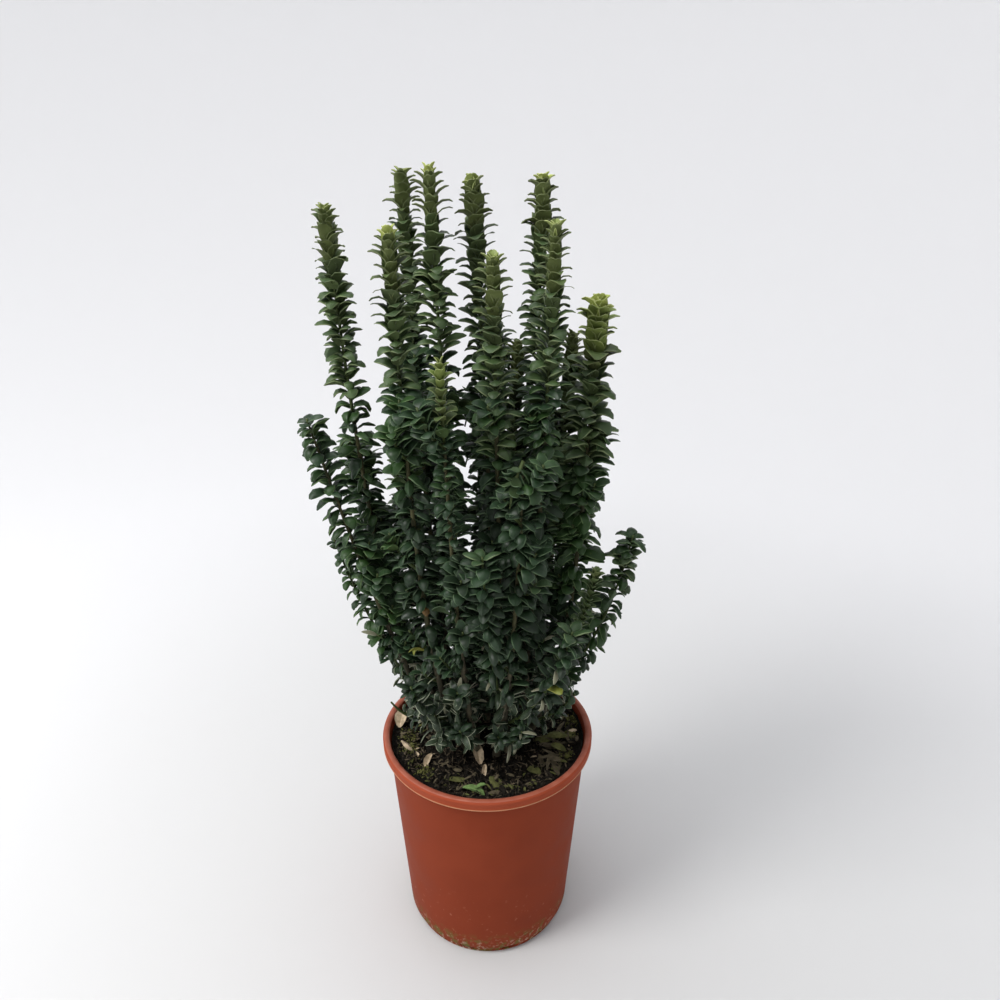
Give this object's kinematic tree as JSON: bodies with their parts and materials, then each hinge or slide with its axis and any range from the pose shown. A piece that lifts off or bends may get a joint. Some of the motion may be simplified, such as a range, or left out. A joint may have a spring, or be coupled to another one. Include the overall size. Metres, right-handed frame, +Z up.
{
  "type": "potted shrub",
  "caption": "Upright evergreen shrub in a nursery pot: a clump of tall spire-like shoots with paired small leathery leaves, growing from soil in a round tapered pot with a rolled rim.",
  "frame": {"origin": "middle of the pot's flat underside, on the surface it stands on", "axes": "+Z up along the pot's axis and the shoots; +X to the right and -Y towards the viewer as the plant is pictured"},
  "size_m": [0.3398, 0.2447, 0.846],
  "materials": {
    "pot": "satin terracotta orange",
    "soil": "rough dark potting mix",
    "stem": "matt olive-brown bark",
    "foliage": "glossy dark green leaves"
  },
  "bodies": {
    "root": {"pot": "pot", "soil": "soil", "far_left_stem": "stem", "far_left_foliage": "foliage", "left_front_stem": "stem", "left_front_foliage": "foliage", "left_back_stem": "stem", "left_back_foliage": "foliage", "left_inner_stem": "stem", "left_inner_foliage": "foliage", "centre_stem": "stem", "centre_foliage": "foliage", "centre_front_stem": "stem", "centre_front_foliage": "foliage", "right_inner_stem": "stem", "right_inner_foliage": "foliage", "right_front_stem": "stem", "right_front_foliage": "foliage", "far_right_stem": "stem", "far_right_foliage": "foliage", "low_front_stem": "stem", "low_front_foliage": "foliage", "centre_back_stem": "stem", "centre_back_foliage": "foliage", "right_back_stem": "stem", "right_back_foliage": "foliage", "outer_left_stem": "stem", "outer_left_foliage": "foliage", "back_right_stem": "stem", "back_right_foliage": "foliage", "back_left_stem": "stem", "back_left_foliage": "foliage", "back_outer_left_stem": "stem", "back_outer_left_foliage": "foliage", "back_middle_stem": "stem", "back_middle_foliage": "foliage", "back_outer_right_stem": "stem", "back_outer_right_foliage": "foliage", "rear_left_stem": "stem", "rear_left_foliage": "foliage", "front_right_stem": "stem", "front_right_foliage": "foliage", "side_left_foliage": "foliage", "side_right_foliage": "foliage", "side_right_front_foliage": "foliage", "side_front_foliage": "foliage", "side_front_right_foliage": "foliage", "skirt_left_foliage": "foliage", "skirt_left_front_foliage": "foliage", "skirt_right_foliage": "foliage", "skirt_right_front_foliage": "foliage", "skirt_front_left_foliage": "foliage", "skirt_front_foliage": "foliage", "skirt_front_right_foliage": "foliage", "skirt_back_left_foliage": "foliage", "skirt_back_foliage": "foliage", "skirt_back_right_foliage": "foliage", "skirt_rear_left_foliage": "foliage"}
  },
  "joints": []
}
